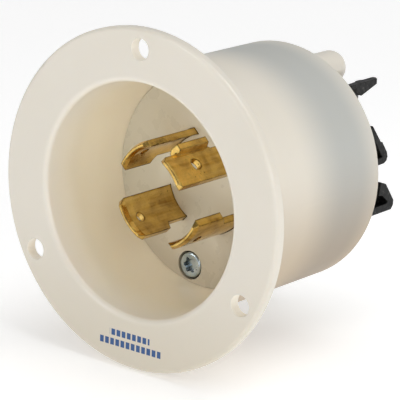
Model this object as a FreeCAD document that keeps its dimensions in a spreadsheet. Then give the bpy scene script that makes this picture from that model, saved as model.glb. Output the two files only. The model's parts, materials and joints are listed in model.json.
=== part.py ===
import FreeCAD, Part
import math
import os
import Sketcher

# Flanged locking-blade power inlet, three line blades and one ground blade.
# The mounting (rear) face of the flange lies in the XZ plane, +Y goes into the panel,
# +Z is up through the top mounting hole, +X is right as seen from the front.
# A "depth" is measured rearwards from the front face of the flange.

DIMENSIONS = [
    # casing
    ("flange_radius", 39.7),
    ("flange_thick", 2.6),
    ("rim_round", 0.9),
    ("back_round", 0.4),
    ("mouth_radius", 27.3),
    ("mouth_round", 1.2),
    ("seat_radius", 25.85),
    ("barrel_front_radius", 28.85),
    ("barrel_rear_radius", 28.8),
    ("barrel_depth", 53.9),
    ("barrel_round", 0.8),
    ("bore_radius", 26.3),
    ("ledge_radius", 24.0),
    ("hole_circle_radius", 34.925),
    ("hole_radius", 2.5),
    # stack of insulating pieces, front to rear
    ("disc_depth", 25.2),
    ("disc_thick", 4.0),
    ("disc_radius", 25.7),
    ("ledge_thick", 2.5),
    ("spigot_radius", 23.85),
    ("retainer_radius", 26.0),
    ("retainer_thick", 3.5),
    ("housing_depth", 53.0),
    ("tower_depth", 61.5),
    ("tower_radius", 20.3),
    ("cover_thick", 2.5),
    ("fit_gap", 0.05),
    ("tool_over", 1.0),
    # screws through the carrier into the rear bosses
    ("screw_circle_radius", 21.75),
    ("screw_angle", 78.9),
    ("screw_head_radius", 3.25),
    ("screw_head_high", 1.8),
    ("screw_shank_radius", 1.5),
    ("screw_long", 27.0),
    ("screw_end_gap", 1.0),
    ("screw_sink", 0.1),
    ("socket_radius", 1.95),
    ("socket_deep", 1.2),
    ("socket_lobe_radius", 0.5),
    ("socket_core_less", 0.42),
    ("head_round", 0.7),
    ("hole_clear", 0.15),
    ("thread_clear", 0.02),
    ("counterbore_radius", 3.5),
    ("boss_radius", 4.1),
    ("boss_depth", 66.0),
    # blades
    ("blade_inner_radius", 11.1),
    ("blade_outer_radius", 12.7),
    ("blade_near", 7.1),
    ("blade_far", 14.7),
    ("blade_bevel_long", 1.1),
    ("blade_bevel_deep", 0.5),
    ("small_bevel_long", 0.5),
    ("small_bevel_deep", 0.25),
    ("blade_clear", 0.12),
    ("seat_recess", 2.0),
    ("tail_half", 2.0),
    ("tail_depth", 38.2),
    ("tail_gap", 0.3),
    ("line_tip_depth", 7.3),
    ("line_back", 5.6),
    ("line_ear", 4.75),
    ("line_shank", 2.9),
    ("line_ear_depth", 17.2),
    ("line_notch_long", 1.4),
    ("line_corner", 1.0),
    ("tip_over", 0.1),
    ("line_hole_radius", 1.15),
    ("line_hole_depth", 11.5),
    ("line_hole_side", 0.5),
    ("ground_tip_depth", 1.35),
    ("ground_back", 4.35),
    ("ground_nose", 3.5),
    ("ground_ear", 3.9),
    ("ground_shank", 2.75),
    ("ground_nose_depth", 5.6),
    ("ground_ear_depth", 16.6),
    ("ground_hole_radius", 1.4),
    ("ground_hole_depth", 9.7),
    ("ground_hole_side", 0.25),
    ("ground_step", 0.9),
    # terminal chambers and the pieces in them
    ("chamber_near", 6.9),
    ("chamber_far", 14.6),
    ("chamber_before", 3.0),
    ("chamber_after", 4.9),
    ("long_chamber_start", -5.5),
    ("long_chamber_end", 1.6),
    ("strap_thick", 1.0),
    ("strap_half", 2.2),
    ("strap_pad_radius", 2.8),
    ("strap_aim", 2.2),
    ("long_strap_aim", 3.4),
    ("strap_recess", 1.4),
    ("strap_gap", 0.2),
    ("strap_leg_depth", 57.0),
    ("wall_clear", 0.15),
    ("wire_radius", 2.0),
    ("wire_near", 9.0),
    ("leaf_thick", 0.5),
    ("leaf_eye_radius", 1.1),
    ("leaf_eye_depth", 45.5),
    ("leaf_top_depth", 60.9),
    ("leaf_lean", 2.3),
    ("leaf_side_gap", 0.5),
    ("leaf_eye_gap", 0.2),
    # levers
    ("lever_depth", 67.3),
    ("lever_start", 5.6),
    ("lever_start_side", 7.4),
    ("long_lever_depth", 66.2),
    ("long_lever_start", -6.9),
    ("barrel_near", 12.6),
    ("barrel_far", 14.4),
    ("lever_far", 20.1),
    ("side_lever_far", 19.2),
    ("side_lever_back", 18.3),
    ("bridge_middle", 16.6),
    ("bridge_far", 17.8),
    ("taper_near", 1.5),
    ("long_lever_far", 18.0),
    ("lever_hub_radius", 1.7),
    ("pin_radius", 0.8),
    ("pin_clear", 0.05),
    ("ear_thick", 1.2),
    ("ear_gap", 0.2),
    ("ear_radius", 1.9),
    ("slot_before", 1.9),
    ("slot_after", 5.3),
    ("long_slot_start", 0.3),
    ("long_slot_end", 5.2),
    ("slot_side_gap", 0.15),
    ("end_plate_start", 16.1),
    ("taper_wide", 7.4),
    ("wire_shift", 0.4),
    ("wire_funnel", 0.7),
    ("ear_hole_clear", 0.01),
    ("boss_clear", 0.3),
    # screws of the rear cover
    ("upper_screw_x", -12.0),
    ("upper_screw_z", 9.0),
    ("lower_screw_x", 1.5),
    ("lower_screw_z", -13.0),
    ("cover_head_radius", 2.4),
    ("cover_head_high", 1.6),
    ("cover_shank_radius", 1.1),
    ("cover_screw_long", 11.0),
    ("cover_screw_short", 10.0),
    ("cover_head_round", 0.6),
    ("cross_long", 2.8),
    ("cross_wide", 0.6),
    ("cross_deep", 0.8),
]

# Corners of small outlines. Lever and leaf outlines are (along the lever, rearwards), the taper
# outline is (along the pin, rearwards), the foot outline is (outwards, sideways).
OUTLINES = {
    "leaf_lip": [(-1.3, 9.0), (-4.0, 5.4), (-3.8, 4.9), (-1.0, 8.3)],
    "leaf_bend": [(0.1, 8.2), (0.2, 0.0)],
    "foot": [(10.4, 3.1), (11.6, 2.6), (13.7, 3.7), (13.7, 5.2), (11.4, 5.2), (10.4, 4.6)],
    "nose": [(-0.9, 0.0), (-0.7, -5.7), (0.1, -6.1), (0.9, 0.0)],
    "long_nose": [(0.2, -1.2), (2.0, -2.4), (2.1, -4.9), (2.9, -5.0), (3.5, -2.2), (1.4, 0.4)],
    "arm": [(-1.5, 0.9), (-0.4, 1.9), (1.9, 2.8), (3.0, 2.8), (3.7, 1.0), (3.6, -0.5), (1.5, -0.5)],
    "bridge": [(2.3, -0.5), (2.3, 2.6), (3.0, 2.8), (3.7, 1.0), (3.6, -0.5)],
    "bridge_end": [(2.3, 1.0), (2.3, 2.6), (5.2, 3.2), (5.2, 1.4)],
    "hook": [(2.3, 2.2), (2.3, 4.1), (4.5, 5.9), (5.7, 5.8), (6.7, 5.0), (6.8, -5.8), (5.4, -5.8),
        (5.0, -1.4), (5.0, 3.0), (4.3, 3.4)],
    "fin": [(4.9, 3.0), (4.9, 5.8), (5.7, 5.8), (6.7, 5.0), (6.8, -5.8), (5.4, -5.8), (5.0, -1.4)],
    "web": [(-1.0, 0.1), (-0.2, 2.3), (4.5, 5.9), (5.2, 4.6), (4.3, 3.4), (2.4, 0.9), (2.3, -0.3)],
    "taper": [(-2.0, -7.0), (5.8, -7.0), (5.6, -3.9), (3.4, -1.3), (5.6, 5.9), (5.9, 7.0),
        (-2.0, 7.0)],
    "long_web": [(-2.3, -0.3), (5.2, 5.8), (6.4, 6.4), (6.2, 4.4), (2.4, 1.6), (-0.4, -1.2)],
    "long_arm": [(-1.9, 0.0), (-1.6, 1.0), (5.2, 6.2), (6.4, 6.6), (7.4, 6.2), (7.9, 5.2),
        (8.0, 2.4), (6.4, 2.4), (6.2, 4.4), (2.4, 1.6), (0.8, 0.4)],
    "long_plate": [(2.4, 4.06), (5.2, 6.2), (6.4, 6.6), (7.4, 6.2), (7.9, 5.2), (8.0, 2.4),
        (6.4, 2.4), (6.2, 4.4), (2.4, 1.6)],
}

MOUNTING_HOLES = 3
SIX_LOBES = 6
TINY = 0.01
QUARTER_TURN = 90.0
FULL_TURN = 360.0

doc = FreeCAD.newDocument("flanged_inlet")
sheet = doc.addObject("Spreadsheet::Sheet", "dims")
CORNERS = [(f"{name}_{number}_{way}", size) for name, corners in OUTLINES.items()
           for number, corner in enumerate(corners) for way, size in zip(("a", "b"), corner)]
for row, (alias, size) in enumerate(DIMENSIONS + CORNERS, start=1):
    sheet.set(f"A{row}", alias)
    sheet.set(f"B{row}", str(size))
    sheet.setAlias(f"B{row}", alias)
doc.recompute()

class Size:
    """Length that carries both its expression over the sheet and its number."""

    def __init__(self, text, number):
        self.text = text
        self.number = number

    def combined(self, sign, other, number):
        return Size(f"({self.text} {sign} {bound(other)})", number)

    def __add__(self, other):
        return self.combined("+", other, self.number + value(other))

    def __sub__(self, other):
        return self.combined("-", other, self.number - value(other))

    def __mul__(self, other):
        return self.combined("*", other, self.number * value(other))

    def __neg__(self):
        return Size(f"(0 - {self.text})", -self.number)

    def __radd__(self, other):
        return self + other

    def __rsub__(self, other):
        return -self + other

    def __rmul__(self, other):
        return self * other

    def __float__(self):
        return self.number


class Sizes:
    """The sheet's cells as sizes, one attribute for each alias."""

    def __init__(self, cells):
        for alias in cells:
            setattr(self, alias, Size(f"dims.{alias}", float(sheet.get(alias))))


def bound(size):
    """Expression text of a size or of a plain number."""
    return size.text if isinstance(size, Size) else str(float(size))


def value(size):
    """Number of a size or of a plain number."""
    return float(size)


d = Sizes([alias for alias, size in DIMENSIONS + CORNERS])


def corners_of(name):
    """Corners of a named outline, as pairs of sizes."""
    return [(getattr(d, f"{name}_{number}_a"), getattr(d, f"{name}_{number}_b"))
            for number in range(len(OUTLINES[name]))]


# turn of each blade's middle about the object's axis, counter-clockwise from +X as seen from the front
EIGHTH_TURN = 45.0
GROUND_TURN = EIGHTH_TURN
LINE_TURNS = {"x": 3 * EIGHTH_TURN, "y": 5 * EIGHTH_TURN, "z": 7 * EIGHTH_TURN}

def plane_y(depth):
    """Y of a depth, as an expression."""
    return depth - d.flange_thick


def turn_about_axis(angle):
    return FreeCAD.Rotation(FreeCAD.Vector(0, -1, 0), angle)


def turned(angle):
    return FreeCAD.Placement(FreeCAD.Vector(), turn_about_axis(angle))


ALONG_Y = FreeCAD.Rotation(FreeCAD.Vector(1, 0, 0), -QUARTER_TURN)
ALONG_X = FreeCAD.Rotation(FreeCAD.Vector(0, 1, 0), QUARTER_TURN)


def cylinder(name, radius, start, end, x=0.0, z=0.0):
    """Cylinder along Y between two depths."""
    piece = doc.addObject("Part::Cylinder", name)
    piece.setExpression("Radius", bound(radius))
    piece.setExpression("Height", bound(end - start))
    piece.Placement = FreeCAD.Placement(FreeCAD.Vector(x, 0, z), ALONG_Y)
    piece.setExpression("Placement.Base.y", bound(plane_y(start)))
    return piece


def cone(name, radius_start, radius_end, start, end, x=0.0, z=0.0):
    """Cone along Y between two depths."""
    piece = doc.addObject("Part::Cone", name)
    piece.setExpression("Radius1", bound(radius_start))
    piece.setExpression("Radius2", bound(radius_end))
    piece.setExpression("Height", bound(end - start))
    piece.Placement = FreeCAD.Placement(FreeCAD.Vector(x, 0, z), ALONG_Y)
    piece.setExpression("Placement.Base.y", bound(plane_y(start)))
    return piece


def sketch(name, points):
    """Closed outline in the XY plane, each corner bound to a pair of sizes."""
    outline = doc.addObject("Sketcher::SketchObject", name)
    fill_sketch(outline, points)
    return outline


def fill_sketch(outline, points):
    corners = [FreeCAD.Vector(value(x), value(y), 0) for x, y in points]
    count = len(corners)
    for index in range(count):
        outline.addGeometry(Part.LineSegment(corners[index], corners[(index + 1) % count]), False)
    for index in range(count):
        outline.addConstraint(Sketcher.Constraint("Coincident", index, 2, (index + 1) % count, 1))
    for index, (x, y) in enumerate(points):
        bind_point(outline, index, 1, x, y)


def bind_point(outline, number, end, x, y):
    for kind, text in (("DistanceX", x), ("DistanceY", y)):
        constraint = outline.addConstraint(Sketcher.Constraint(kind, -1, 1, number, end, value(text)))
        outline.setExpression(f"Constraints[{constraint}]", bound(text))


def extruded(name, outline, length):
    piece = doc.addObject("Part::Extrusion", name)
    piece.Base = outline
    piece.DirMode = "Custom"
    piece.Dir = FreeCAD.Vector(0, 0, 1)
    piece.Solid = True
    piece.setExpression("LengthFwd", bound(length))
    return piece


def fused(name, pieces):
    whole = doc.addObject("Part::MultiFuse", name)
    whole.Shapes = pieces
    whole.Refine = True
    return whole


def cut(name, base, tools):
    """Base with all the tools taken away."""
    tool = tools[0] if len(tools) == 1 else fused(name + "_tools", tools)
    whole = doc.addObject("Part::Cut", name)
    whole.Base = base
    whole.Tool = tool
    whole.Refine = True
    return whole


def common(name, base, tool):
    whole = doc.addObject("Part::Common", name)
    whole.Base = base
    whole.Tool = tool
    return whole


def rounded(name, base, radius, chosen):
    """Fillet on the edges that chosen(edge) picks."""
    doc.recompute()
    piece = doc.addObject("Part::Fillet", name)
    piece.Base = base
    size = value(radius)
    edges = base.Shape.Edges
    piece.Edges = [(number, size, size) for number, edge in enumerate(edges, start=1) if chosen(edge)]
    assert piece.Edges, name
    return piece


def screw_positions():
    for turn in (value(d.screw_angle), value(d.screw_angle) + 0.5 * FULL_TURN):
        radius = value(d.screw_circle_radius)
        yield radius * math.cos(math.radians(turn)), radius * math.sin(math.radians(turn))


def cover_screw_positions():
    yield value(d.upper_screw_x), value(d.upper_screw_z)
    yield value(d.lower_screw_x), value(d.lower_screw_z)


# ---- casing ----

def circle_edges(shape, radius, depth):
    """Names of the circular edges about the object's axis at one radius and depth."""
    names = []
    for number, edge in enumerate(shape.Edges, start=1):
        box = edge.BoundBox
        flat = box.YLength < TINY
        level = abs(box.YMax - value(plane_y(depth))) < TINY
        if flat and level and abs(box.XMax - value(radius)) < TINY:
            names.append(f"Edge{number}")
    return names


def casing():
    """Flange, tapered cup, inner ledge and barrel, turned about Y, with three mounting holes."""
    body = doc.addObject("PartDesign::Body", "casing")
    planes = {feature.Role: feature for feature in body.Origin.OriginFeatures}
    profile = body.newObject("Sketcher::SketchObject", "casing_profile")
    profile.AttachmentSupport = [(planes["XY_Plane"], "")]
    profile.MapMode = "FlatFace"
    ledge_front = plane_y(d.disc_depth + d.disc_thick)
    ledge_rear = plane_y(d.disc_depth + d.disc_thick + d.ledge_thick)
    fill_sketch(profile, [
        (d.mouth_radius, plane_y(0)),
        (d.flange_radius, plane_y(0)),
        (d.flange_radius, 0),
        (d.barrel_front_radius, 0),
        (d.barrel_rear_radius, plane_y(d.barrel_depth)),
        (d.bore_radius, plane_y(d.barrel_depth)),
        (d.bore_radius, ledge_rear),
        (d.ledge_radius, ledge_rear),
        (d.ledge_radius, ledge_front),
        (d.seat_radius, ledge_front),
        (d.seat_radius, plane_y(d.disc_depth)),
    ])
    turned_shape = body.newObject("PartDesign::Revolution", "casing_turned")
    turned_shape.Profile = profile
    turned_shape.ReferenceAxis = (profile, ["V_Axis"])
    turned_shape.Angle = FULL_TURN
    doc.recompute()
    base = turned_shape
    for name, radius, depth, size in (
        ("mouth_edge", d.mouth_radius, 0, d.mouth_round),
        ("rim_edge", d.flange_radius, 0, d.rim_round),
        ("rim_back_edge", d.flange_radius, d.flange_thick, d.back_round),
        ("barrel_edge", d.barrel_rear_radius, d.barrel_depth, d.barrel_round),
        ("bore_edge", d.bore_radius, d.barrel_depth, d.back_round),
    ):
        fillet = body.newObject("PartDesign::Fillet", name)
        fillet.Base = (base, circle_edges(base.Shape, radius, depth))
        fillet.setExpression("Radius", bound(size))
        doc.recompute()
        base = fillet
    hole = body.newObject("Sketcher::SketchObject", "hole_outline")
    hole.AttachmentSupport = [(planes["XZ_Plane"], "")]
    hole.MapMode = "FlatFace"
    centre = FreeCAD.Vector(0, value(d.hole_circle_radius), 0)
    hole.addGeometry(Part.Circle(centre, FreeCAD.Vector(0, 0, 1), value(d.hole_radius)), False)
    bind_point(hole, 0, 3, 0, d.hole_circle_radius)
    constraint = hole.addConstraint(Sketcher.Constraint("Radius", 0, value(d.hole_radius)))
    hole.setExpression(f"Constraints[{constraint}]", bound(d.hole_radius))
    pocket = body.newObject("PartDesign::Pocket", "mounting_hole")
    pocket.Profile = hole
    pocket.Type = "ThroughAll"
    pocket.Midplane = True
    pattern = body.newObject("PartDesign::PolarPattern", "mounting_holes")
    pattern.Originals = [pocket]
    pattern.Axis = (planes["Y_Axis"], [""])
    pattern.Angle = FULL_TURN
    pattern.Occurrences = MOUNTING_HOLES
    body.Tip = pattern
    doc.recompute()
    assert body.Shape.Volume < base.Shape.Volume - 2 * value(d.hole_radius)
    return body


# ---- blades ----

def ring_between(name, inner, outer, start, end):
    """Tube along Y between two depths."""
    outside = cylinder(name + "_outside", outer, start, end)
    inside = cylinder(name + "_inside", inner, start - d.tool_over, end + d.tool_over)
    return cut(name, outside, [inside])


def blade_ring(name, tip, outer_long, outer_deep):
    """Tube whose front edge is bevelled on both sides, from which a blade is taken."""
    profile = sketch(name + "_profile", [
        (d.blade_inner_radius, plane_y(d.tail_depth)),
        (d.blade_outer_radius, plane_y(d.tail_depth)),
        (d.blade_outer_radius, plane_y(tip + outer_long)),
        (d.blade_outer_radius - outer_deep, plane_y(tip)),
        (d.blade_inner_radius + d.blade_bevel_deep, plane_y(tip)),
        (d.blade_inner_radius, plane_y(tip + d.blade_bevel_long)),
    ])
    piece = doc.addObject("Part::Revolution", name)
    piece.Source = profile
    piece.Axis = FreeCAD.Vector(0, 1, 0)
    piece.Angle = FULL_TURN
    piece.Solid = True
    return piece


def across_blade(name, points):
    """Prism along X over an outline given as (sideways, depth), for a blade centred on +X."""
    outline = sketch(name + "_outline", [(-side, plane_y(depth)) for side, depth in points])
    piece = extruded(name, outline, d.blade_far - d.blade_near)
    piece.Placement = FreeCAD.Placement(FreeCAD.Vector(value(d.blade_near), 0, 0), ALONG_X)
    return piece


def radial_hole(name, radius, depth, side):
    """Hole through a blade centred on +X, from inside outwards."""
    piece = doc.addObject("Part::Cylinder", name)
    piece.setExpression("Radius", bound(radius))
    piece.setExpression("Height", bound(d.blade_outer_radius))
    base = FreeCAD.Vector(value(d.blade_near), value(plane_y(depth)), value(side))
    piece.Placement = FreeCAD.Placement(base, ALONG_X)
    return piece


def line_blade(phase):
    """Hooked blade: full width from the tip to the ear's end, narrower shank, narrow tail."""
    name = "line_blade_" + phase
    seat = d.disc_depth + d.disc_thick + d.seat_recess
    outline = across_blade(name + "_face", [
        (-d.line_back, d.line_tip_depth + d.line_corner),
        (-d.line_back + d.line_corner, d.line_tip_depth - d.tip_over),
        (d.line_ear - d.line_corner, d.line_tip_depth - d.tip_over),
        (d.line_ear, d.line_tip_depth + d.line_corner),
        (d.line_ear, d.line_ear_depth),
        (d.line_shank, d.line_ear_depth + d.line_notch_long),
        (d.line_shank, seat),
        (d.tail_half, seat),
        (d.tail_half, d.tail_depth),
        (-d.tail_half, d.tail_depth),
        (-d.tail_half, seat),
        (-d.line_back, seat),
    ])
    ring = blade_ring(name + "_ring", d.line_tip_depth, d.blade_bevel_long, d.blade_bevel_deep)
    stamped = common(name + "_stamped", ring, outline)
    hole = radial_hole(name + "_hole", d.line_hole_radius, d.line_hole_depth, -d.line_hole_side)
    blade = cut(name, stamped, [hole])
    blade.Placement = turned(LINE_TURNS[phase])
    return blade


def ground_blade():
    """Longer blade with a narrow nose and an ear whose edge is bent outwards."""
    name = "ground_blade"
    seat = d.disc_depth + d.disc_thick + d.seat_recess
    outline = across_blade(name + "_face", [
        (-d.ground_back, d.ground_tip_depth + d.line_corner),
        (-d.ground_back + d.line_corner, d.ground_tip_depth - d.tip_over),
        (d.ground_nose - d.line_corner, d.ground_tip_depth - d.tip_over),
        (d.ground_nose, d.ground_tip_depth + d.line_corner),
        (d.ground_nose, d.ground_nose_depth),
        (d.ground_ear, d.ground_nose_depth + d.ground_step),
        (d.ground_ear, d.ground_ear_depth),
        (d.ground_shank, d.ground_ear_depth + d.ground_step),
        (d.ground_shank, seat),
        (d.tail_half, seat),
        (d.tail_half, d.tail_depth),
        (-d.tail_half, d.tail_depth),
        (-d.tail_half, seat),
        (-d.ground_back, seat),
    ])
    ring = blade_ring(name + "_ring", d.ground_tip_depth, d.small_bevel_long, d.small_bevel_deep)
    stamped = common(name + "_stamped", ring, outline)
    foot_outline = sketch(name + "_foot_outline", corners_of("foot"))
    foot = extruded(name + "_foot", foot_outline, d.ground_ear_depth - d.ground_nose_depth - d.ground_step)
    foot.Placement = FreeCAD.Placement(FreeCAD.Vector(0, value(plane_y(d.ground_ear_depth)), 0),
                                       FreeCAD.Rotation(FreeCAD.Vector(1, 0, 0), QUARTER_TURN))
    whole = fused(name + "_whole", [stamped, foot])
    hole = radial_hole(name + "_hole", d.ground_hole_radius, d.ground_hole_depth, -d.ground_hole_side)
    blade = cut(name, whole, [hole])
    blade.Placement = turned(GROUND_TURN)
    return blade


def blade_slot(name, back, front, start, end, turn):
    """Curved slot for a blade's section, between two depths."""
    inner = d.blade_inner_radius - d.blade_clear
    outer = d.blade_outer_radius + d.blade_clear
    ring = ring_between(name + "_ring", inner, outer, start, end)
    sides = across_blade(name + "_sides", [
        (-back - d.blade_clear, start - 2 * d.tool_over),
        (front + d.blade_clear, start - 2 * d.tool_over),
        (front + d.blade_clear, end + 2 * d.tool_over),
        (-back - d.blade_clear, end + 2 * d.tool_over),
    ])
    slot = common(name, ring, sides)
    slot.Placement = turned(turn)
    return slot


def blade_slots(name, start, end, tails=False):
    """One slot for each of the four blades, for their shanks or for their tails."""
    slots = []
    for phase, turn in LINE_TURNS.items():
        back, front = (d.tail_half, d.tail_half) if tails else (d.line_back, d.line_shank)
        slots.append(blade_slot(f"{name}_{phase}", back, front, start, end, turn))
    back, front = (d.tail_half, d.tail_half) if tails else (d.ground_back, d.ground_shank)
    slots.append(blade_slot(name + "_ground", back, front, start, end, GROUND_TURN))
    return slots


# ---- carrier, retainer and their screws ----

def blade_carrier():
    """Disc at the bottom of the cup, with the blades' slots and two counterbored screw holes."""
    rear = d.disc_depth + d.disc_thick
    disc = cylinder("carrier_disc", d.disc_radius, d.disc_depth, rear)
    tools = blade_slots("carrier_slot", d.disc_depth - d.tool_over, rear + d.tool_over)
    floor = d.disc_depth + d.screw_sink + d.screw_head_high
    before, behind = d.disc_depth - d.tool_over, rear + d.tool_over
    hole_radius = d.screw_shank_radius + d.hole_clear
    for number, (x, z) in enumerate(screw_positions()):
        tools.append(cylinder(f"carrier_counterbore_{number}", d.counterbore_radius, before, floor, x, z))
        tools.append(cylinder(f"carrier_hole_{number}", hole_radius, before, behind, x, z))
    return cut("blade_carrier", disc, tools)


def blade_retainer():
    """Plate with a spigot through the casing's ledge, in whose recesses the blades are seated."""
    front = d.disc_depth + d.disc_thick + d.fit_gap
    middle = d.disc_depth + d.disc_thick + d.ledge_thick
    rear = d.disc_depth + d.disc_thick + d.ledge_thick + d.retainer_thick
    spigot = cylinder("retainer_spigot", d.spigot_radius, front, middle)
    flange = cylinder("retainer_flange", d.retainer_radius, middle, rear)
    before, behind = front - d.tool_over, rear + d.tool_over
    tools = blade_slots("retainer_recess", before, d.disc_depth + d.disc_thick + d.seat_recess)
    tools += blade_slots("retainer_slot", before, behind, tails=True)
    hole_radius = d.screw_shank_radius + d.hole_clear
    for number, (x, z) in enumerate(screw_positions()):
        tools.append(cylinder(f"retainer_hole_{number}", hole_radius, before, behind, x, z))
    return cut("blade_retainer", fused("retainer_blank", [spigot, flange]), tools)


def head_edge(depth, shank_radius):
    """Test for the rim of a screw head whose outer face is at a depth."""
    level = value(plane_y(depth))

    def chosen(edge):
        box = edge.BoundBox
        flat = box.YLength < TINY and abs(box.YMax - level) < TINY
        return flat and box.XLength > 2 * value(shank_radius) + TINY

    return chosen


def carrier_screw(number, x, z):
    """Long pan-head screw with a six-lobe socket."""
    top = d.disc_depth + d.screw_sink
    under = top + d.screw_head_high
    head = cylinder(f"screw_head_{number}", d.screw_head_radius, top, under, x, z)
    shank = cylinder(f"screw_shank_{number}", d.screw_shank_radius, under, under + d.screw_long, x, z)
    blank = fused(f"screw_blank_{number}", [head, shank])
    screw = rounded(f"screw_round_{number}", blank, d.head_round, head_edge(top, d.screw_shank_radius))
    above = top - d.tool_over
    floor = top + d.socket_deep
    lobes = [cylinder(f"socket_{number}", d.socket_radius - d.socket_core_less, above, floor, x, z)]
    away = value(d.socket_radius - d.socket_lobe_radius)
    for lobe in range(SIX_LOBES):
        angle = math.radians(lobe * FULL_TURN / SIX_LOBES)
        place = (x + away * math.cos(angle), z + away * math.sin(angle))
        lobes.append(cylinder(f"lobe_{number}_{lobe}", d.socket_lobe_radius, above, floor, *place))
    return cut(f"screw_{number}", screw, lobes)


def grouped(name, screws):
    group = doc.addObject("Part::Compound", name)
    group.Links = screws
    return group


def carrier_screws():
    """The two screws through the carrier into the bosses."""
    screws = [carrier_screw(number, x, z) for number, (x, z) in enumerate(screw_positions())]
    return grouped("carrier_screws", screws)


# ---- terminal cells ----
# A cell is drawn with its lever's axis along X, its lever running towards -Z, and is then
# turned about the object's axis. "start" is how far below the axis the lever's pin lies.

def cell_box(name, near, far, first, last, start, end, turn):
    """Box from near to far along the pin, first to last along the lever, between two depths."""
    piece = doc.addObject("Part::Box", name)
    piece.setExpression("Length", bound(far - near))
    piece.setExpression("Width", bound(end - start))
    piece.setExpression("Height", bound(last - first))
    base = FreeCAD.Vector(value(near), value(plane_y(start)), -value(last))
    place = turned(turn).multiply(FreeCAD.Placement(base, FreeCAD.Rotation()))
    piece.Placement = place
    return piece


def cell_place(turn, near, depth, along):
    """Placement of a piece drawn as (along the lever, rearwards) and extruded along the pin."""
    base = FreeCAD.Vector(value(near), value(plane_y(depth)), -value(along))
    return turned(turn).multiply(FreeCAD.Placement(base, ALONG_X))


def cell_point(turn, across, along):
    """X and Z of a point given in a cell's own directions."""
    point = turn_about_axis(turn).multVec(FreeCAD.Vector(across, 0, -along))
    return point.x, point.z


def plain_cell(turn, blade, pin, far, back_far, webbed):
    """One terminal: its turn, blade, lever pin, chamber ends, lever's far sides and its strap's aim."""
    return {"turn": turn, "blade": blade, "pin": pin, "pin_depth": d.lever_depth,
            "first": pin - d.chamber_before, "last": pin + d.chamber_after,
            "far": far, "back_far": back_far, "aim": d.strap_aim, "webbed": webbed}


def long_cell(turn, blade):
    """The terminal with the long lever."""
    return {"turn": turn, "blade": blade, "pin": d.long_lever_start, "pin_depth": d.long_lever_depth,
            "first": d.long_chamber_start, "last": d.long_chamber_end, "far": d.long_lever_far,
            "aim": d.long_strap_aim}


SIDE_LEVER = (d.lever_start_side, d.side_lever_far, d.side_lever_back)
CELLS = {
    "x": long_cell(0, LINE_TURNS["x"]),
    "y": plain_cell(3 * QUARTER_TURN, LINE_TURNS["y"], *SIDE_LEVER, webbed=False),
    "z": plain_cell(0, LINE_TURNS["z"], d.lever_start, d.lever_far, d.lever_far, webbed=True),
    "ground": plain_cell(QUARTER_TURN, GROUND_TURN, *SIDE_LEVER, webbed=False),
}
LONG_LEVER = "x"


def blade_centre(turn):
    radius = value(0.5 * d.blade_inner_radius + 0.5 * d.blade_outer_radius)
    return FreeCAD.Vector(radius * math.cos(math.radians(turn)), 0, radius * math.sin(math.radians(turn)))


def strap_bar(name, cell, grow, start, end):
    """Flat bar from a round pad about the blade's tail to the strap's leg, wider by grow all round."""
    tail = blade_centre(cell["blade"])
    middle = value(0.5 * d.chamber_near + 0.5 * d.chamber_far)
    leg_x, leg_z = cell_point(cell["turn"], middle, value(cell["first"] + cell["aim"]))
    leg = FreeCAD.Vector(leg_x, 0, leg_z)
    run = leg - tail
    half = value(d.strap_half) + grow
    turn = -math.degrees(math.atan2(run.z, run.x))
    bar = doc.addObject("Part::Box", name + "_run")
    bar.Length = run.Length + 2 * half
    bar.Width = value(end) - value(start)
    bar.Height = 2 * half
    base = FreeCAD.Placement(FreeCAD.Vector(tail.x, value(plane_y(start)), tail.z),
                             FreeCAD.Rotation(FreeCAD.Vector(0, 1, 0), turn))
    bar.Placement = base.multiply(FreeCAD.Placement(FreeCAD.Vector(-half, 0, -half), FreeCAD.Rotation()))
    pad = cylinder(name + "_pad", d.strap_pad_radius + grow, start, end, tail.x, tail.z)
    return fused(name, [bar, pad])


STRAP_FRONT = d.disc_depth + d.disc_thick + d.ledge_thick + d.retainer_thick


def terminal_strap(name, cell):
    """Brass plate from the blade's tail into the chamber, with a leg along the chamber's wall."""
    front = STRAP_FRONT + d.strap_gap
    rear = front + d.strap_thick
    bar = strap_bar(name + "_bar", cell, 0, front, rear)
    leg = cell_box(name + "_leg", d.chamber_near + d.wall_clear, d.chamber_far - d.wall_clear,
                   cell["first"] + d.wall_clear, cell["first"] + d.wall_clear + d.strap_thick,
                   front, d.strap_leg_depth, cell["turn"])
    before, behind = front - d.tool_over, rear + d.tool_over
    slot = blade_slot(name + "_slot", d.tail_half, d.tail_half, before, behind, cell["blade"])
    return cut(name, fused(name + "_blank", [bar, leg]), [slot])


def leaf_outline():
    """Corners of the clamp leaf as (along the lever, rearwards), counted from its rolled end."""
    rise = d.leaf_top_depth - d.leaf_eye_depth
    bend, foot = corners_of("leaf_bend")
    return [
        (-d.leaf_thick, 0),
        (-d.leaf_lean - d.leaf_thick, rise),
        (-d.leaf_lean, rise),
        (bend[0] - 0.5 * d.leaf_lean, bend[1]),
        foot,
    ]


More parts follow.
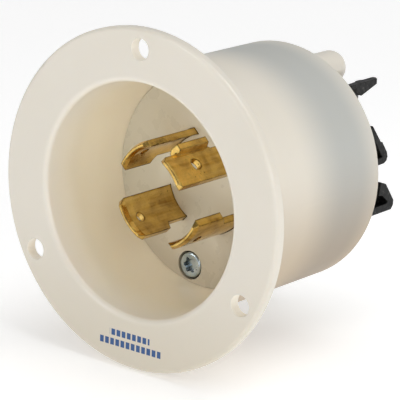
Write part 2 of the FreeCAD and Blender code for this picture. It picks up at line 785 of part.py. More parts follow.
def clamp_leaf(name, cell):
    """Steel leaf with a rolled end and a lip that bears on the wire."""
    near = d.chamber_near + d.leaf_side_gap
    width = d.chamber_far - d.chamber_near - 2 * d.leaf_side_gap
    leaf = extruded(name + "_leaf", sketch(name + "_outline", leaf_outline()), width)
    lip = extruded(name + "_lip", sketch(name + "_lip_outline", corners_of("leaf_lip")), width)
    eye = doc.addObject("Part::Cylinder", name + "_eye")
    eye.setExpression("Radius", bound(d.leaf_eye_radius))
    eye.setExpression("Height", bound(width))
    inside = doc.addObject("Part::Cylinder", name + "_eye_hole")
    inside.setExpression("Radius", bound(d.leaf_eye_radius - d.leaf_thick))
    inside.setExpression("Height", bound(width))
    whole = cut(name, fused(name + "_blank", [leaf, lip, eye]), [inside])
    along = cell["last"] - d.leaf_eye_radius - d.leaf_eye_gap
    whole.Placement = cell_place(cell["turn"], near, d.leaf_eye_depth, along)
    return whole


def housing_cell_tools(key, cell):
    """Strap recess and chamber of one terminal."""
    front = STRAP_FRONT
    before, behind = front - d.tool_over, front + d.strap_recess
    recess = strap_bar(f"recess_{key}", cell, value(d.wall_clear), before, behind)
    chamber = cell_box(f"chamber_{key}", d.chamber_near, d.chamber_far, cell["first"], cell["last"],
                       front - d.tool_over, d.tower_depth + d.tool_over, cell["turn"])
    return [recess, chamber]


def terminal_housing():
    """Block behind the retainer with four chambers and two round screw bosses."""
    front = STRAP_FRONT
    block = cylinder("housing_block", d.retainer_radius, front, d.housing_depth)
    tower = cylinder("housing_tower", d.tower_radius, d.housing_depth - d.tool_over, d.tower_depth)
    pieces = [block, tower]
    root = d.housing_depth - d.tool_over
    screw_end = d.disc_depth + d.screw_sink + d.screw_head_high + d.screw_long + d.screw_end_gap
    thread_radius = d.screw_shank_radius + d.thread_clear
    tools = blade_slots("housing_tail", front - d.tool_over, d.tail_depth + d.tail_gap, tails=True)
    for number, (x, z) in enumerate(screw_positions()):
        pieces.append(cylinder(f"boss_{number}", d.boss_radius, root, d.boss_depth, x, z))
        dome = doc.addObject("Part::Sphere", f"boss_dome_{number}")
        dome.setExpression("Radius", bound(d.boss_radius))
        dome.Placement.Base = FreeCAD.Vector(x, value(plane_y(d.boss_depth)), z)
        pieces.append(dome)
        tools.append(cylinder(f"boss_hole_{number}", thread_radius, front - d.tool_over, screw_end, x, z))
    for key, cell in CELLS.items():
        tools += housing_cell_tools(key, cell)
    for number, (x, z) in enumerate(cover_screw_positions()):
        tools.append(cylinder(f"cover_thread_{number}", d.cover_shank_radius + d.thread_clear,
                              d.tower_depth - d.cover_screw_long, d.tower_depth + d.tool_over, x, z))
    return cut("terminal_housing", fused("housing_blank", pieces), tools)


# ---- levers, pins and rear cover ----

def plate(name, outline, start, end):
    """Prism over a named outline between two places along the pin."""
    piece = extruded(name, sketch(name + "_outline", corners_of(outline)), end - start)
    piece.setExpression("Placement.Base.z", bound(start - d.barrel_near))
    return piece


def lever_hub(name, nose):
    """Round hub about the pin, and the nose that reaches through the cover."""
    hub = doc.addObject("Part::Cylinder", name + "_hub")
    hub.setExpression("Radius", bound(d.lever_hub_radius))
    hub.setExpression("Height", bound(d.barrel_far - d.barrel_near))
    return [hub, plate(name + "_nose", nose, d.barrel_near, d.barrel_far)]


def pin_hole(name):
    hole = doc.addObject("Part::Cylinder", name + "_pin_hole")
    hole.setExpression("Radius", bound(d.pin_radius + d.pin_clear))
    hole.setExpression("Height", bound(d.barrel_far - d.barrel_near + 2 * d.tool_over))
    hole.Placement.Base = FreeCAD.Vector(0, 0, -value(d.tool_over))
    return hole


def placed_lever(name, cell, pieces):
    """Lever made of its pieces, with its pin hole, in its cell."""
    lever = cut(name, fused(name + "_blank", pieces), [pin_hole(name)])
    lever.Placement = cell_place(cell["turn"], d.barrel_near, cell["pin_depth"], cell["pin"])
    return lever


def plain_lever(name, cell):
    """Thumb lever: hub, bridge past the ear and a hooked end plate that narrows to both ends."""
    hooked = [plate(name + "_hook", "hook", d.barrel_near, cell["back_far"])]
    hooked.append(plate(name + "_fin", "fin", d.barrel_near, cell["far"]))
    if cell["webbed"]:
        hooked.append(plate(name + "_web", "web", d.end_plate_start, cell["far"]))
    taper_outline = sketch(name + "_taper_outline", corners_of("taper"))
    taper = extruded(name + "_taper", taper_outline, d.taper_wide + d.taper_near)
    turn_aside = FreeCAD.Rotation(FreeCAD.Vector(0, 1, 0), -QUARTER_TURN)
    taper.Placement = FreeCAD.Placement(FreeCAD.Vector(value(d.taper_wide), 0, 0), turn_aside)
    end = cut(name + "_narrowed", fused(name + "_end", hooked), [taper])
    arm = plate(name + "_arm", "arm", d.barrel_near, d.barrel_far)
    bridge = plate(name + "_bridge", "bridge", d.barrel_near, d.bridge_far)
    bridge_end = plate(name + "_bridge_end", "bridge_end", d.bridge_middle, d.bridge_far)
    return placed_lever(name, cell, lever_hub(name, "nose") + [arm, bridge, bridge_end, end])


def long_lever(name, cell):
    """Longer lever with a straight sloping back plate and a rounded thumb end."""
    arm = plate(name + "_arm", "long_arm", d.barrel_near, d.barrel_far)
    thumb = plate(name + "_thumb", "long_plate", d.barrel_near, cell["far"])
    web = plate(name + "_web", "long_web", d.end_plate_start, cell["far"])
    return placed_lever(name, cell, lever_hub(name, "long_nose") + [arm, thumb, web])


def lever_pin(name, cell):
    """Steel pin through the cover's two ears and the lever's hub."""
    near = d.barrel_near - d.ear_gap - d.ear_thick
    far = d.barrel_far + d.ear_gap + d.ear_thick
    pin = doc.addObject("Part::Cylinder", name)
    pin.setExpression("Radius", bound(d.pin_radius))
    pin.setExpression("Height", bound(far - near))
    pin.Placement = cell_place(cell["turn"], near, cell["pin_depth"], cell["pin"])
    return pin


COVER_REAR = d.tower_depth + d.cover_thick


def cover_ear(name, cell, near):
    """Ear that stands on the cover, round about the pin."""
    first, last = cell["pin"] - d.ear_radius, cell["pin"] + d.ear_radius
    post = cell_box(name + "_post", near, near + d.ear_thick, first, last,
                    COVER_REAR - d.tool_over, cell["pin_depth"], cell["turn"])
    top = doc.addObject("Part::Cylinder", name + "_top")
    top.setExpression("Radius", bound(d.ear_radius))
    top.setExpression("Height", bound(d.ear_thick))
    top.Placement = cell_place(cell["turn"], near, cell["pin_depth"], cell["pin"])
    return [post, top]


def cover_openings(key, cell):
    """Pin hole, lever slot and funnelled wire entry of one cell."""
    start = d.tower_depth - d.tool_over
    end = COVER_REAR + d.tool_over
    near = d.barrel_near - d.ear_gap - d.ear_thick - d.tool_over
    far = d.barrel_far + d.ear_gap + d.ear_thick + d.tool_over
    hole = doc.addObject("Part::Cylinder", f"ear_hole_{key}")
    hole.setExpression("Radius", bound(d.pin_radius + d.ear_hole_clear))
    hole.setExpression("Height", bound(far - near))
    hole.Placement = cell_place(cell["turn"], near, cell["pin_depth"], cell["pin"])
    first, last = cell["pin"] - d.slot_before, cell["pin"] + d.slot_after
    if key == LONG_LEVER:
        first, last = cell["first"] + d.long_slot_start, cell["first"] + d.long_slot_end
    slot = cell_box(f"cover_slot_{key}", d.barrel_near - d.slot_side_gap, d.barrel_far + d.slot_side_gap,
                    first, last, start, end, cell["turn"])
    middle = value(0.5 * cell["first"] + 0.5 * cell["last"] + d.wire_shift)
    x, z = cell_point(cell["turn"], value(d.wire_near), middle)
    entry = cylinder(f"wire_entry_{key}", d.wire_radius, start, end, x, z)
    funnel = cone(f"wire_funnel_{key}", d.wire_radius, d.wire_radius + d.wire_funnel,
                  COVER_REAR - d.wire_funnel, COVER_REAR, x, z)
    return [hole, slot, entry, funnel]


def rear_cover():
    """Plate over the chambers, clear of the bosses, with wire entries and the levers' ears."""
    start = d.tower_depth - d.tool_over
    end = COVER_REAR + d.tool_over
    pieces = [cylinder("cover_plate", d.tower_radius, d.tower_depth, COVER_REAR)]
    tools = []
    for key, cell in CELLS.items():
        pieces += cover_ear(f"ear_{key}_near", cell, d.barrel_near - d.ear_gap - d.ear_thick)
        pieces += cover_ear(f"ear_{key}_far", cell, d.barrel_far + d.ear_gap)
        tools += cover_openings(key, cell)
    for number, (x, z) in enumerate(screw_positions()):
        tools.append(cylinder(f"boss_clear_{number}", d.boss_radius + d.boss_clear, start, end, x, z))
    hole_radius = d.cover_shank_radius + d.hole_clear
    for number, (x, z) in enumerate(cover_screw_positions()):
        tools.append(cylinder(f"cover_hole_{number}", hole_radius, start, end, x, z))
    return cut("rear_cover", fused("cover_blank", pieces), tools)


def cover_screw(number, x, z):
    """Short pan-head screw with a cross recess."""
    top = COVER_REAR + d.cover_head_high
    head = cylinder(f"cover_head_{number}", d.cover_head_radius, COVER_REAR, top, x, z)
    tip = COVER_REAR - d.cover_screw_short
    shank = cylinder(f"cover_shank_{number}", d.cover_shank_radius, tip, COVER_REAR, x, z)
    blank = fused(f"cover_screw_blank_{number}", [head, shank])
    rim = head_edge(top, d.cover_shank_radius)
    screw = rounded(f"cover_round_{number}", blank, d.cover_head_round, rim)
    slots = []
    for bar, (wide, high) in enumerate(((d.cross_long, d.cross_wide), (d.cross_wide, d.cross_long))):
        slot = doc.addObject("Part::Box", f"cover_cross_{number}_{bar}")
        slot.setExpression("Length", bound(wide))
        slot.setExpression("Width", bound(d.cross_deep + d.tool_over))
        slot.setExpression("Height", bound(high))
        corner = (x - value(0.5 * wide), value(plane_y(top) - d.cross_deep), z - value(0.5 * high))
        slot.Placement.Base = FreeCAD.Vector(*corner)
        slots.append(slot)
    return cut(f"cover_screw_{number}", screw, slots)


def cover_screws():
    """The two screws that hold the rear cover."""
    screws = [cover_screw(number, x, z) for number, (x, z) in enumerate(cover_screw_positions())]
    return grouped("cover_screws", screws)


def build():
    parts = [casing(), blade_carrier(), blade_retainer(), terminal_housing(), rear_cover()]
    parts += [line_blade(phase) for phase in LINE_TURNS]
    parts.append(ground_blade())
    for key, cell in CELLS.items():
        parts.append(terminal_strap("terminal_strap_" + key, cell))
        parts.append(clamp_leaf("clamp_leaf_" + key, cell))
        parts.append(lever_pin("lever_pin_" + key, cell))
        lever = long_lever if key == LONG_LEVER else plain_lever
        parts.append(lever("lever_" + key, cell))
    parts.append(carrier_screws())
    parts.append(cover_screws())
    return parts


def check(parts):
    for item in doc.Objects:
        assert not {"Invalid", "Error"} & set(item.State), (item.Name, item.State)
    for part in parts:
        assert not part.Shape.isNull(), part.Label
        assert part.Shape.isValid(), part.Label


parts = build()
doc.recompute()
check(parts)
os.makedirs("parts", exist_ok=True)
for part in parts:
    part.Shape.exportStep(f"parts/{part.Label}.step")
    print(part.Label, len(part.Shape.Solids), round(part.Shape.Volume, 1))
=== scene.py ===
import json
import math
import bpy
from mathutils import Matrix, Vector


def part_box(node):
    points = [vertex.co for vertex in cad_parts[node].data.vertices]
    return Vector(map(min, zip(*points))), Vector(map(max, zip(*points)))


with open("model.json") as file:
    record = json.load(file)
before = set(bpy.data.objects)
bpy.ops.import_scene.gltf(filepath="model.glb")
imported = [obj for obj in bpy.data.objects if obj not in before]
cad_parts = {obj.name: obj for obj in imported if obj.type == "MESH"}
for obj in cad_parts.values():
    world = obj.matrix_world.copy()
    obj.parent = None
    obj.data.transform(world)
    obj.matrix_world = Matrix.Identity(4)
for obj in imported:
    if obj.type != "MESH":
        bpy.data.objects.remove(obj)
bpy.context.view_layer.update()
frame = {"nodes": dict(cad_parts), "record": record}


# ---- colours ----

def linear(red, green, blue):
    """Linear colour from display values of 0 to 255."""
    return tuple(
        ((c / 255 + 0.055) / 1.055) ** 2.4 if c > 10 else c / 255 / 12.92
        for c in (red, green, blue)
    )


def solid(color):
    """Colour with full opacity, as a shader socket takes it."""
    return (*color, 1.0)


WHITE = (1.0, 1.0, 1.0)
FLOOR_DARK = (0.93, 0.93, 0.93)
FLOOR_PALE = (0.95, 0.95, 0.95)

NYLON_DARK = linear(221, 215, 202)
NYLON_PALE = linear(224, 218, 206)
# Painted shade low on the flange's front.
FLANGE_PAINTED_SHADE = linear(213, 205, 188)
# Painted shade low on the barrel.
BARREL_PAINTED_SHADE = linear(190, 173, 148)
# Painted grey reflection band on the barrel, lighter above and with painted shade below.
PAINTED_REFLECTION_BAND = linear(184, 185, 180)
PAINTED_REFLECTION_BAND_SHADED = linear(160, 146, 128)
# Cup wall colours from the mouth to deep inside, where a warm painted shade deepens.
CUP_MOUTH = linear(236, 230, 218)
CUP_DEEP_PAINTED_SHADE = linear(247, 237, 213)
# Colour of the painted glow in the cup and on the mounting holes' walls, though they are no lamp.
NYLON_PAINTED_GLOW = linear(252, 245, 232)
PRINT_BLUE = linear(0, 72, 134)

CARRIER_DARK = linear(222, 216, 197)
CARRIER_PALE = linear(227, 221, 203)
# Painted shade low on the carrier.
CARRIER_PAINTED_SHADE = linear(212, 202, 181)

BRASS_BRIGHT = linear(224, 184, 94)
BRASS_DULL = linear(142, 104, 48)
BRASS_DRAWN = linear(244, 214, 138)
BRASS_EDGE = linear(52, 32, 12)
BRASS_PIT = linear(60, 40, 18)

BLACK = linear(4, 4, 4)
BLACK_DUST = linear(78, 76, 72)

ZINC_PALE = linear(196, 206, 210)
ZINC_DARK = linear(142, 156, 164)
SPRING_PALE = linear(190, 190, 188)
SPRING_DARK = linear(150, 150, 150)
STEEL_SPOT = linear(52, 56, 60)
# Painted shade in recesses.
STEEL_PAINTED_RECESS_SHADE = linear(10, 15, 22)


# ---- places: x to the right, y into the panel from its face, z up, radii from the y axis ----

casing_low, casing_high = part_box("casing")
FLANGE_RADIUS = casing_high.x
FRONT_Y = casing_low.y
FACE_SKIN = 0.0001

# Each pair is where a change starts and where it is complete.
# Painted shade low on the flange's front.
FLANGE_SHADE_Z = (-0.006, -0.036)
BARREL_SKIN_RADIUS = (0.0270, 0.0280)
BARREL_START_Y = (0.0, 0.006)
# Painted shade low on the barrel.
BARREL_SHADE_Z = (0.012, -0.020)
# Painted grey reflection band along the barrel: where it starts, and where it fades towards the rear.
REFLECTION_BAND_START_Y = (0.0215, 0.0385)
REFLECTION_BAND_END_Y = (0.0435, 0.0520)
CUP_WALL_RADIUS = (0.0290, 0.0268)
CUP_FLOOR_Y = (0.0262, 0.0230)
# Painted warm shade deepening into the cup.
CUP_SHADE_Y = (FRONT_Y, FRONT_Y + 0.012)
# Painted glow on the cup's walls, growing with depth.
CUP_PAINTED_GLOW_Y = (0.0, 0.0235)
# Painted shade low on the carrier.
CARRIER_SHADE_Z = (-0.004, -0.022)

HOLE_TURNS = (90, 210, 330)
HOLE_CIRCLE_RADIUS = 0.034925
HOLE_RADIUS = 0.0025
HOLE_MARGIN = 0.00004

# Rows of the printed mark, as (bottom, top, left, right, shift of the blocks).
MARK_ROWS = (
    (-0.0328, -0.0313, -0.0069, 0.0050, 0.0002),
    (-0.0352, -0.0336, -0.0100, 0.0083, 0.0005),
)
MARK_PITCH = 0.00155
MARK_FILL = 0.72


# Widths of rounded edges, of dark edges and of painted shade in recesses.
NYLON_ROUNDING = 0.0004
BRASS_ROUNDING = 0.00035
BRASS_EDGE_WIDTH = 0.0006
BLACK_ROUNDING = 0.00025
STEEL_ROUNDING = 0.00015
STEEL_PAINTED_RECESS_SHADE_WIDTH = 0.0022


# ---- node helpers ----

NOISE_SPAN = (0.3, 0.7)
# Strengths of the painted glow in the cup and on the mounting holes' walls.
CUP_PAINTED_GLOW = 0.09
HOLE_PAINTED_GLOW = 0.16


class Tree:
    """Adds nodes to a material's or a world's tree."""

    def __init__(self, tree):
        self.tree = tree

    def add(self, kind, **values):
        node = self.tree.nodes.new(kind)
        for name, value in values.items():
            setattr(node, name, value)
        return node

    def link(self, source, target):
        self.tree.links.new(source, target)

    def split(self, vector):
        """The x, y and z parts of a vector."""
        node = self.add("ShaderNodeSeparateXYZ")
        self.link(vector, node.inputs[0])
        return node.outputs

    def spread(self, source, low, high, to_low=0.0, to_high=1.0, smooth=False):
        """Maps the range low to high onto the range to_low to to_high, and holds it beyond the ends."""
        node = self.add("ShaderNodeMapRange", interpolation_type="SMOOTHSTEP" if smooth else "LINEAR")
        for index, value in enumerate((low, high, to_low, to_high), start=1):
            node.inputs[index].default_value = value
        self.link(source, node.inputs[0])
        return node.outputs[0]

    def calculate(self, operation, one, two=None):
        node = self.add("ShaderNodeMath", operation=operation)
        for socket, value in zip(node.inputs, (one, two)):
            if isinstance(value, (int, float)):
                socket.default_value = value
            elif value is not None:
                self.link(value, socket)
        return node.outputs[0]

    def product(self, first, *others):
        for other in others:
            first = self.calculate("MULTIPLY", first, other)
        return first

    def length(self, one, two):
        """Length of the vector with these two parts at right angles."""
        squares = self.calculate("ADD", self.product(one, one), self.product(two, two))
        return self.calculate("SQRT", squares)


class Surface(Tree):
    """Builds one procedural material, in the object's own metres."""

    def __init__(self, name):
        self.material = bpy.data.materials.new(name)
        self.material.use_nodes = True
        super().__init__(self.material.node_tree)
        self.shader = self.tree.nodes["Principled BSDF"]
        self.place = self.add("ShaderNodeTexCoord").outputs["Object"]

    def set(self, **values):
        for name, value in values.items():
            self.shader.inputs[name.replace("_", " ")].default_value = value

    def drive(self, socket, source):
        """Feeds a socket of the shader from a node."""
        self.link(source, self.shader.inputs[socket])

    def stretched(self, scale):
        node = self.add("ShaderNodeMapping")
        node.inputs["Scale"].default_value = scale
        self.link(self.place, node.inputs["Vector"])
        return node.outputs["Vector"]

    def noise(self, scale, detail, roughness=0.5, place=None, distortion=0.0):
        node = self.add("ShaderNodeTexNoise")
        node.inputs["Scale"].default_value = scale
        node.inputs["Detail"].default_value = detail
        node.inputs["Roughness"].default_value = roughness
        node.inputs["Distortion"].default_value = distortion
        self.link(place or self.place, node.inputs["Vector"])
        return node.outputs["Fac"]

    def cloud(self, scale, detail, to_low=0.0, to_high=1.0):
        """Soft patches between two values."""
        return self.spread(self.noise(scale, detail), *NOISE_SPAN, to_low, to_high)

    def mix(self, factor, one, two):
        node = self.add("ShaderNodeMix", data_type="RGBA")
        for socket, value in ((node.inputs[0], factor), (node.inputs[6], one), (node.inputs[7], two)):
            if isinstance(value, tuple):
                socket.default_value = solid(value)
            else:
                self.link(value, socket)
        return node.outputs[2]

    def bump(self, height, distance, strength, under=None):
        node = self.add("ShaderNodeBump")
        node.inputs["Distance"].default_value = distance
        node.inputs["Strength"].default_value = strength
        self.link(height, node.inputs["Height"])
        if under:
            self.link(under, node.inputs["Normal"])
        return node.outputs["Normal"]

    def rounded_normal(self, radius):
        """Normal that rounds the edges over a radius."""
        node = self.add("ShaderNodeBevel", samples=6)
        node.inputs["Radius"].default_value = radius
        return node.outputs["Normal"]

    def edges(self, rounded, sharp, flat):
        """1 along sharp edges and 0 on open faces, from how far the rounded normal leans."""
        node = self.add("ShaderNodeVectorMath", operation="DOT_PRODUCT")
        self.link(rounded, node.inputs[0])
        self.link(self.add("ShaderNodeNewGeometry").outputs["Normal"], node.inputs[1])
        return self.spread(node.outputs["Value"], flat, sharp)

    def painted_recess_shade(self, distance, deep, exposed):
        """Mask of painted shade: 1 deep in narrow recesses and 0 on open faces."""
        node = self.add("ShaderNodeAmbientOcclusion", samples=8)
        node.inputs["Distance"].default_value = distance
        return self.spread(node.outputs["AO"], exposed, deep)

    def finish(self, color, roughness, normal):
        self.drive("Base Color", color)
        self.drive("Roughness", roughness)
        self.drive("Normal", normal)
        return self.material


# ---- materials ----

def hole_walls(s, x, z):
    """Mask of the walls of the three mounting holes, which get a painted glow in place of light shining
    through the flange.
    """
    nearest = 1.0
    for turn in HOLE_TURNS:
        across = s.calculate("SUBTRACT", x, HOLE_CIRCLE_RADIUS * math.cos(math.radians(turn)))
        up = s.calculate("SUBTRACT", z, HOLE_CIRCLE_RADIUS * math.sin(math.radians(turn)))
        nearest = s.calculate("MINIMUM", s.length(across, up), nearest)
    return s.calculate("LESS_THAN", nearest, HOLE_RADIUS + HOLE_MARGIN)


def between(s, value, low, high):
    """1 where a value is between two limits, else 0."""
    return s.product(s.calculate("GREATER_THAN", value, low), s.calculate("LESS_THAN", value, high))


def print_mark(s, x, y, z):
    """Mask of two rows of small plain blocks low on the flange's front, in the place of print."""
    rows = []
    for bottom, top, left, right, shift in MARK_ROWS:
        along = s.product(s.calculate("ADD", x, shift), 1 / MARK_PITCH)
        block = s.calculate("LESS_THAN", s.calculate("FRACT", along), MARK_FILL)
        rows.append(s.product(between(s, z, bottom, top), between(s, x, left, right), block))
    front = s.calculate("LESS_THAN", y, FRONT_Y + FACE_SKIN)
    return s.product(s.calculate("ADD", *rows), front)


def white_nylon():
    """Satin moulded nylon, with painted shade low on the flange, low on the barrel and warm deep in the
    cup, a painted grey reflection band along the barrel, and a painted glow in the cup and on the
    mounting holes' walls.
    """
    s = Surface("white_nylon")
    s.set(Subsurface_Weight=0.12, Subsurface_Radius=(0.004, 0.003, 0.002), Subsurface_Scale=1.0)
    s.set(IOR=1.53, Specular_IOR_Level=0.5, Coat_Roughness=0.08, Emission_Color=solid(NYLON_PAINTED_GLOW))
    x, y, z = s.split(s.place)
    radius = s.length(x, z)

    body = s.mix(s.cloud(scale=35, detail=3), NYLON_DARK, NYLON_PALE)
    # Painted shade low on the flange's front.
    body = s.mix(s.spread(z, *FLANGE_SHADE_Z, smooth=True), body, FLANGE_PAINTED_SHADE)
    barrel = s.product(s.spread(radius, *BARREL_SKIN_RADIUS), s.spread(y, *BARREL_START_Y))
    # Painted shade low on the barrel, which also shades the lower side of the reflection band.
    low = s.spread(z, *BARREL_SHADE_Z, smooth=True)
    body = s.mix(s.product(barrel, low), body, BARREL_PAINTED_SHADE)
    # Painted grey reflection band along the barrel, fading towards the rear.
    reflection_band = s.spread(y, *REFLECTION_BAND_START_Y, smooth=True)
    reflection_band_fade = s.spread(y, *REFLECTION_BAND_END_Y, to_low=1.0, to_high=0.35, smooth=True)
    body = s.mix(s.product(reflection_band, reflection_band_fade, barrel), body, s.mix(low, PAINTED_REFLECTION_BAND, PAINTED_REFLECTION_BAND_SHADED))

    cup = s.product(s.spread(radius, *CUP_WALL_RADIUS, smooth=True), s.spread(y, *CUP_FLOOR_Y))
    # Painted warm shade on the cup's walls, deepening with depth.
    color = s.mix(cup, body, s.mix(s.spread(y, *CUP_SHADE_Y), CUP_MOUTH, CUP_DEEP_PAINTED_SHADE))
    color = s.mix(print_mark(s, x, y, z), color, PRINT_BLUE)

    # Painted light: the cup's walls and the mounting holes' walls glow, though they are no lamp.
    cup_painted_glow = s.product(cup, s.spread(y, *CUP_PAINTED_GLOW_Y, to_high=CUP_PAINTED_GLOW))
    hole_painted_glow = s.product(hole_walls(s, x, z), HOLE_PAINTED_GLOW)
    s.drive("Emission Strength", s.calculate("ADD", cup_painted_glow, hole_painted_glow))
    s.drive("Coat Weight", s.spread(barrel, 0.0, 1.0, to_low=0.3, to_high=0.0))
    satin = s.spread(s.noise(scale=120, detail=2), 0.2, 0.8, to_low=0.29, to_high=0.35)
    rough = s.calculate("ADD", satin, s.product(barrel, 0.20))
    rounded = s.rounded_normal(NYLON_ROUNDING)
    waves = s.bump(s.noise(scale=60, detail=0), distance=0.0001, strength=0.1, under=rounded)
    fine = s.noise(scale=1400, detail=3, roughness=0.6)
    grain = s.bump(fine, distance=0.00002, strength=0.35, under=waves)
    return s.finish(color, rough, grain)


def carrier_nylon():
    """Greyer moulded nylon, with painted shade low down in the cup."""
    s = Surface("carrier_nylon")
    s.set(Subsurface_Weight=0.05, Subsurface_Radius=(0.003, 0.003, 0.002), Subsurface_Scale=1.0)
    s.set(IOR=1.53)
    _, _, z = s.split(s.place)
    color = s.mix(s.cloud(scale=60, detail=4), CARRIER_DARK, CARRIER_PALE)
    # Painted shade low on the carrier.
    color = s.mix(s.spread(z, *CARRIER_SHADE_Z, smooth=True), color, CARRIER_PAINTED_SHADE)
    rough = s.cloud(scale=300, detail=4, to_low=0.24, to_high=0.36)
    waves = s.bump(s.noise(scale=60, detail=0), distance=0.0001, strength=0.1)
    fine = s.noise(scale=1600, detail=3, roughness=0.6)
    grain = s.bump(fine, distance=0.00002, strength=0.3, under=waves)
    return s.finish(color, rough, grain)


def brass():
    """Stamped brass with draw marks along it, blotches, pits and dark rounded edges."""
    s = Surface("brass")
    s.set(Metallic=1.0)
    rounded = s.rounded_normal(BRASS_ROUNDING)
    drawn = s.noise(scale=900, detail=6, roughness=0.6, place=s.stretched((1.0, 0.06, 1.0)))
    blotch = s.spread(s.noise(scale=230, detail=5, roughness=0.6, distortion=0.4), 0.38, 0.70)
    color = s.mix(blotch, BRASS_BRIGHT, BRASS_DULL)
    color = s.mix(s.spread(drawn, 0.35, 0.75, to_high=0.7), color, BRASS_DRAWN)
    uneven = s.spread(s.noise(scale=600, detail=3), 0.35, 0.60, to_low=0.45, to_high=1.0)
    edge = s.edges(s.rounded_normal(BRASS_EDGE_WIDTH), sharp=0.85, flat=0.985)
    color = s.mix(s.product(edge, uneven), color, BRASS_EDGE)
    pits = s.spread(s.noise(scale=1500, detail=2), 0.68, 0.76, to_high=0.8)
    color = s.mix(pits, color, BRASS_PIT)
    rough = s.cloud(scale=500, detail=5, to_low=0.10, to_high=0.26)
    dents = s.bump(s.noise(scale=420, detail=4), distance=0.00016, strength=0.8, under=rounded)
    marks = s.bump(drawn, distance=0.00004, strength=0.6, under=dents)
    return s.finish(color, rough, marks)


def black_nylon():
    """Glass-filled black nylon with a dusty grain and scuffed edges."""
    s = Surface("black_nylon")
    s.set(IOR=1.5, Specular_IOR_Level=0.28)
    rounded = s.rounded_normal(BLACK_ROUNDING)
    dust = s.spread(s.noise(scale=900, detail=6, roughness=0.7), 0.56, 0.74)
    color = s.mix(dust, BLACK, BLACK_DUST)
    uneven = s.spread(s.noise(scale=500, detail=3), 0.45, 0.65)
    color = s.mix(s.product(s.edges(rounded, sharp=0.75, flat=0.97), uneven), color, BLACK_DUST)
    rough = s.cloud(scale=700, detail=4, to_low=0.38, to_high=0.60)
    fine = s.noise(scale=1300, detail=4, roughness=0.6)
    grain = s.bump(fine, distance=0.00012, strength=0.7, under=rounded)
    return s.finish(color, rough, grain)


def steel(name, pale, dark, smoothest, roughest):
    """Plated steel with a cloudy tone, small spots and painted shade in recesses."""
    s = Surface(name)
    s.set(Metallic=1.0)
    color = s.mix(s.cloud(scale=300, detail=4), pale, dark)
    spots = s.spread(s.noise(scale=1300, detail=2), 0.66, 0.76, to_high=0.6)
    color = s.mix(spots, color, STEEL_SPOT)
    # Painted shade in narrow recesses.
    color = s.mix(s.painted_recess_shade(STEEL_PAINTED_RECESS_SHADE_WIDTH, deep=0.20, exposed=0.55), color, STEEL_PAINTED_RECESS_SHADE)
    rough = s.cloud(scale=800, detail=4, to_low=smoothest, to_high=roughest)
    rounded = s.rounded_normal(STEEL_ROUNDING)
    grain = s.bump(s.noise(scale=1500, detail=3), distance=0.00003, strength=0.3, under=rounded)
    return s.finish(color, rough, grain)


SLOTS = {
    "white_nylon": white_nylon(),
    "carrier_nylon": carrier_nylon(),
    "brass": brass(),
    "black_nylon": black_nylon(),
    "zinc_steel": steel("zinc_steel", ZINC_PALE, ZINC_DARK, smoothest=0.14, roughest=0.28),
    "spring_steel": steel("spring_steel", SPRING_PALE, SPRING_DARK, smoothest=0.15, roughest=0.30),
}


def dress(node, slot):
    """Gives a CAD node its material."""
    data = frame["nodes"][node].data
    data.materials.clear()
    data.materials.append(SLOTS[slot])


for entry in frame["record"]["subparts"]:
    dress(entry["node"], entry["material_slot"])


# ---- studio ----

FLOOR_GAP = 0.0005
FLOOR_REACH = 30.0
FLOOR_GLOW_RADIUS = (0.25, 1.5)
FLOOR_GLOW = (0.30, 0.80)

# The room is darker in front of the part than behind it, and white along the horizon.
ROOM_Y = (-0.7, 0.2)
ROOM_LEVEL = (0.16, 0.50)
HORIZON_Z = (0.02, 0.16)
HORIZON_LEVEL = (1.0, 0.0)

# Lamps aimed at the part's middle, as (name, place, diameter, power).
LAMPS = (
    ("key", (-0.35, -0.85, 0.55), 0.6, 1.6),
    ("fill", (0.85, -0.65, 0.35), 0.6, 2.1),
    ("top", (0.35, 0.05, 0.95), 0.8, 4.0),
    ("glint_left", (-0.45, -0.80, 0.10), 0.07, 0.5),
    ("glint_right", (0.95, -0.15, 0.20), 0.07, 0.6),
)
PART_MIDDLE = Vector((0, 0.02, 0))


def floor():
    """Wide pale floor under the flange, which glows more away from the part."""
    s = Surface("pale_floor")
    s.set(Roughness=0.9, Emission_Color=solid(WHITE))
    s.drive("Base Color", s.mix(s.cloud(scale=3, detail=3), FLOOR_DARK, FLOOR_PALE))
    x, y, _ = s.split(s.place)
    s.drive("Emission Strength", s.spread(s.length(x, y), *FLOOR_GLOW_RADIUS, *FLOOR_GLOW, smooth=True))
    height = -FLANGE_RADIUS - FLOOR_GAP
    signs = ((-1, -1), (1, -1), (1, 1), (-1, 1))
    corners = [(across * FLOOR_REACH, along * FLOOR_REACH, height) for across, along in signs]
    mesh = bpy.data.meshes.new("floor")
    mesh.from_pydata(corners, [], [(0, 1, 2, 3)])
    mesh.materials.append(s.material)
    plane = bpy.data.objects.new("floor", mesh)
    bpy.context.collection.objects.link(plane)


def area_light(name, place, diameter, power):
    data = bpy.data.lights.new(name, "AREA")
    data.shape = "DISK"
    data.size = diameter
    data.energy = power
    lamp = bpy.data.objects.new(name, data)
    lamp.location = place
    lamp.rotation_euler = (PART_MIDDLE - Vector(place)).to_track_quat("-Z", "Y").to_euler()
    bpy.context.collection.objects.link(lamp)


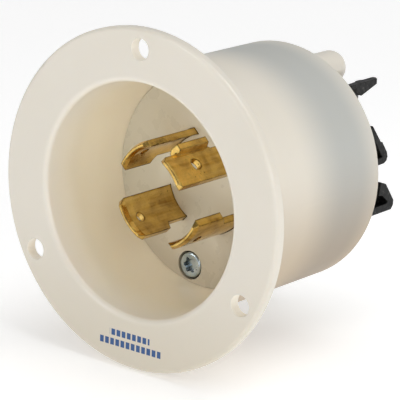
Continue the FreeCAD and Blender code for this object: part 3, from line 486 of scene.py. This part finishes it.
def studio():
    """Soft room light, three large lamps and two small ones for glints."""
    world = bpy.data.worlds.new("studio")
    world.use_nodes = True
    t = Tree(world.node_tree)
    _, y, z = t.split(t.add("ShaderNodeTexCoord").outputs["Generated"])
    room = t.spread(y, *ROOM_Y, *ROOM_LEVEL)
    horizon = t.spread(z, *HORIZON_Z, *HORIZON_LEVEL)
    background = t.tree.nodes["Background"]
    t.link(t.calculate("MAXIMUM", room, horizon), background.inputs["Strength"])
    background.inputs["Color"].default_value = solid(WHITE)
    bpy.context.scene.world = world
    for name, place, diameter, power in LAMPS:
        area_light(name, place, diameter, power)
    bpy.context.scene.view_settings.view_transform = "Standard"


# The photograph's view: the camera's direction, its own tilt, and the part's turn about its axis.
AZIMUTH = math.radians(39.07)
ELEVATION = math.radians(13.82)
TILT = math.radians(-0.73)
PART_TURN = math.radians(3.18)
DISTANCE = 0.5433
OFFSET_RIGHT = -0.01432
OFFSET_UP = -0.00048
LENS = 218.4
SENSOR_WIDTH = 36
CLIP_START = 0.01
CLIP_END = 20


def camera():
    """Camera of the photograph's view, placed from the middle of the flange's front."""
    level_part = math.cos(ELEVATION)
    back = Vector((math.sin(AZIMUTH) * level_part, -math.cos(AZIMUTH) * level_part, math.sin(ELEVATION)))
    level = Vector((math.cos(AZIMUTH), math.sin(AZIMUTH), 0))
    upward = back.cross(level)
    right = math.cos(TILT) * level + math.sin(TILT) * upward
    up = -math.sin(TILT) * level + math.cos(TILT) * upward
    matrix = Matrix((right, up, back)).transposed().to_4x4()
    matrix.translation = back * DISTANCE - right * OFFSET_RIGHT - up * OFFSET_UP
    front = Matrix.Translation((0, FRONT_Y, 0))
    data = bpy.data.cameras.new("camera")
    data.lens = LENS
    data.sensor_width = SENSOR_WIDTH
    data.clip_start = CLIP_START
    data.clip_end = CLIP_END
    shown = bpy.data.objects.new("camera", data)
    shown.matrix_world = front @ Matrix.Rotation(-PART_TURN, 4, "Y") @ matrix
    bpy.context.collection.objects.link(shown)
    bpy.context.scene.camera = shown


camera()
studio()
floor()
